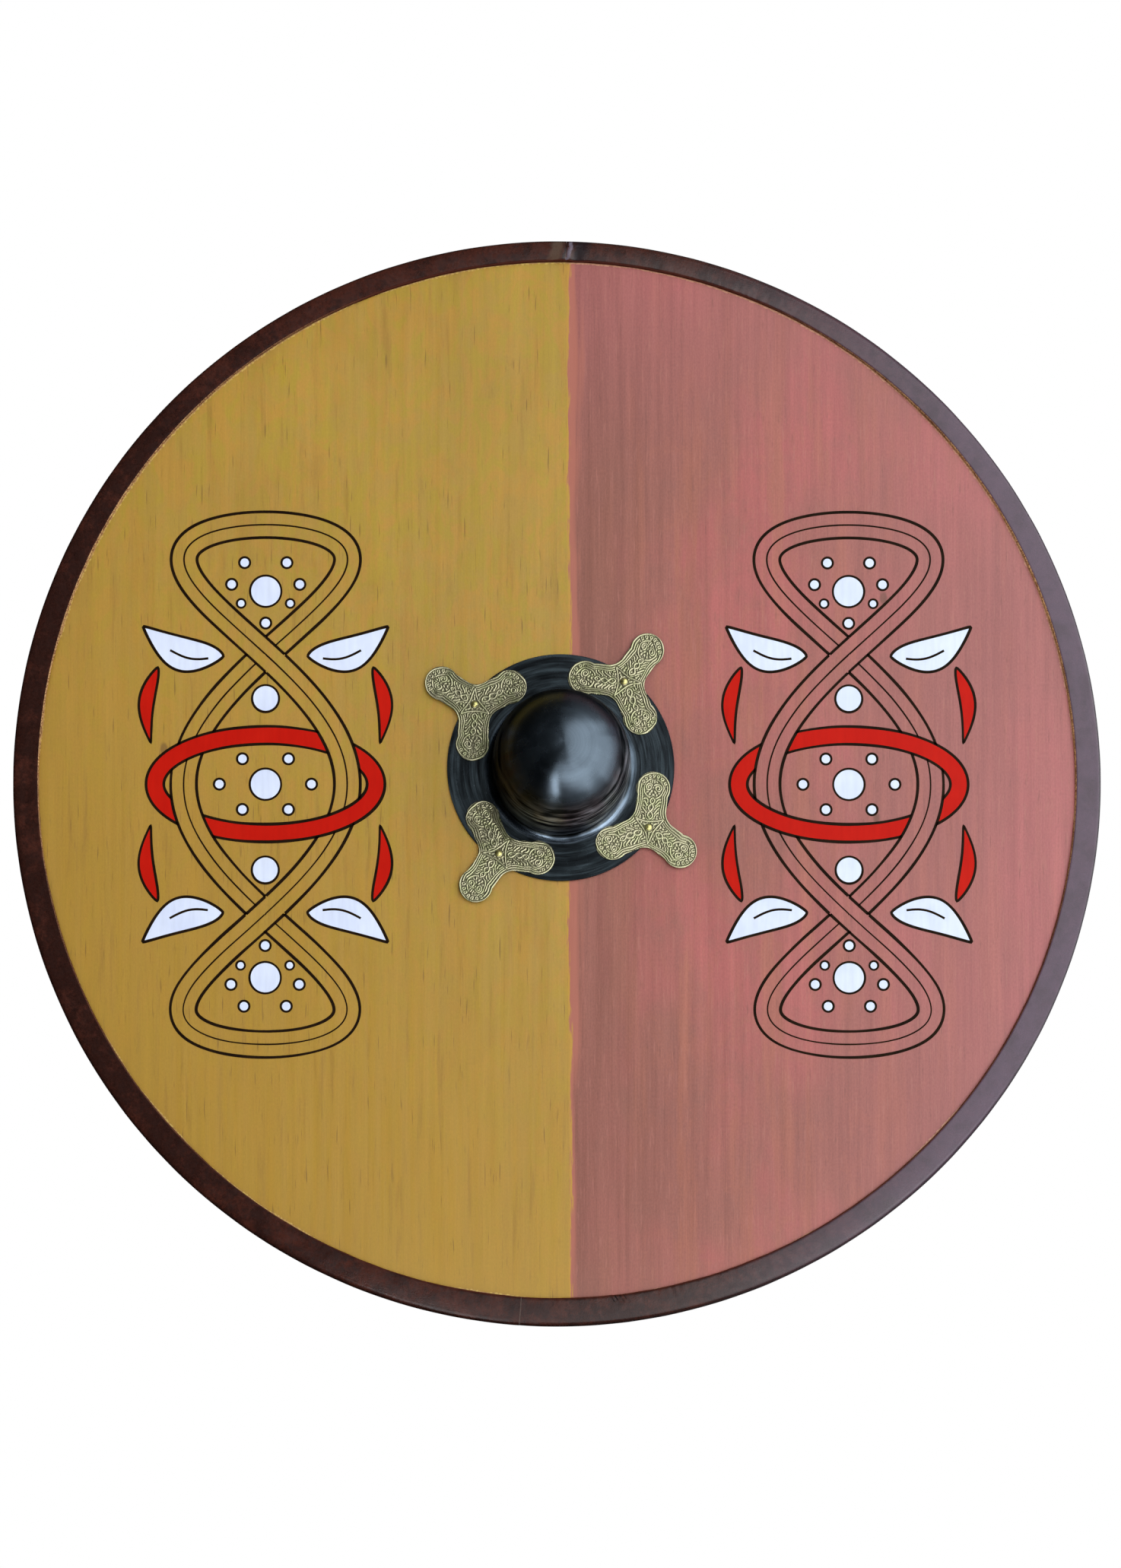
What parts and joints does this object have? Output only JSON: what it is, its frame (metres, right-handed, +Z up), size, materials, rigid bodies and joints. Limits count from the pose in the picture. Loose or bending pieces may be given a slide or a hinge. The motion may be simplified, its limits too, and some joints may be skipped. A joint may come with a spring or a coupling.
{
  "type": "round shield",
  "caption": "Round flat wooden shield with a two-colour painted face, folded leather edging, domed steel boss, three-lobed brass mounts and a wooden grip behind the hand hole.",
  "frame": {"origin": "middle of the grip, where the hand closes, on the axis of the boss and the hand hole", "axes": "the front of the shield and its boss face -Y, the back and the grip face +Y, +Z is up as the shield is carried, +X is to the right seen from the front"},
  "size_m": [0.7999, 0.101, 0.7999],
  "materials": {
    "board_paint": "plywood painted in two halves, ochre yellow and dusty red, satin, with the grain showing through",
    "rim_leather": "dark brown leather, waxed, creased where it is stretched round the edge",
    "boss_steel": "blackened spun steel with fine turning marks",
    "mount_brass": "cast pale brass, dark in its recesses",
    "rivet_brass": "polished by wear",
    "washer_steel": "plain zinc grey",
    "grip_wood": "oiled ash",
    "screw_steel": "dull steel"
  },
  "bodies": {
    "root": {"board": "board_paint", "rim_leather_left": "rim_leather", "rim_leather_right": "rim_leather", "boss": "boss_steel", "mount_upper_right": "mount_brass", "mount_upper_left": "mount_brass", "mount_lower_left": "mount_brass", "mount_lower_right": "mount_brass", "rivet_upper_right": "rivet_brass", "rivet_upper_left": "rivet_brass", "rivet_lower_left": "rivet_brass", "rivet_lower_right": "rivet_brass", "rivet_washer_upper_right": "washer_steel", "rivet_washer_upper_left": "washer_steel", "rivet_washer_lower_left": "washer_steel", "rivet_washer_lower_right": "washer_steel", "grip": "grip_wood", "grip_screw_left_outer": "screw_steel", "grip_screw_left_inner": "screw_steel", "grip_screw_right_inner": "screw_steel", "grip_screw_right_outer": "screw_steel"}
  },
  "joints": []
}
